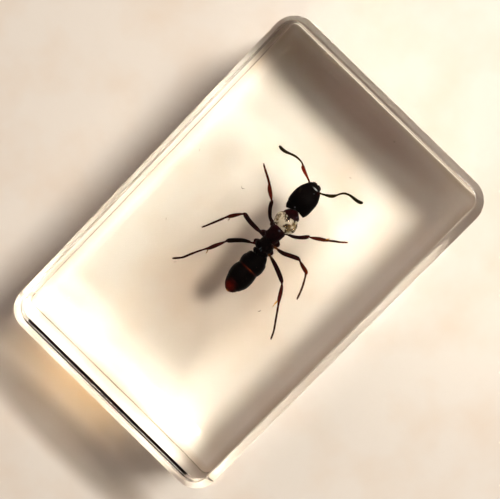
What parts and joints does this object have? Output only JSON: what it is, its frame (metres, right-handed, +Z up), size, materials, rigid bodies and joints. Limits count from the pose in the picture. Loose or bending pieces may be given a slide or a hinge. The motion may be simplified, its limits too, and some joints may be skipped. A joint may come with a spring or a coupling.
{
  "type": "insect in resin block",
  "caption": "Worker ant, spread flat and seen from above, cast level in a clear rectangular resin slab with rounded corners and edges; an air bubble clings to its thorax.",
  "frame": {"origin": "Middle of the block's underside.", "axes": "+X runs along the block toward the ant's head, +Y toward the ant's left side, +Z up through the block's thickness."},
  "size_m": [0.045, 0.0296, 0.017],
  "materials": {
    "resin": "gloss",
    "cuticle": "satin"
  },
  "bodies": {
    "root": {"resin_lower": "resin", "resin_upper": "resin", "ant": "cuticle"}
  },
  "joints": []
}
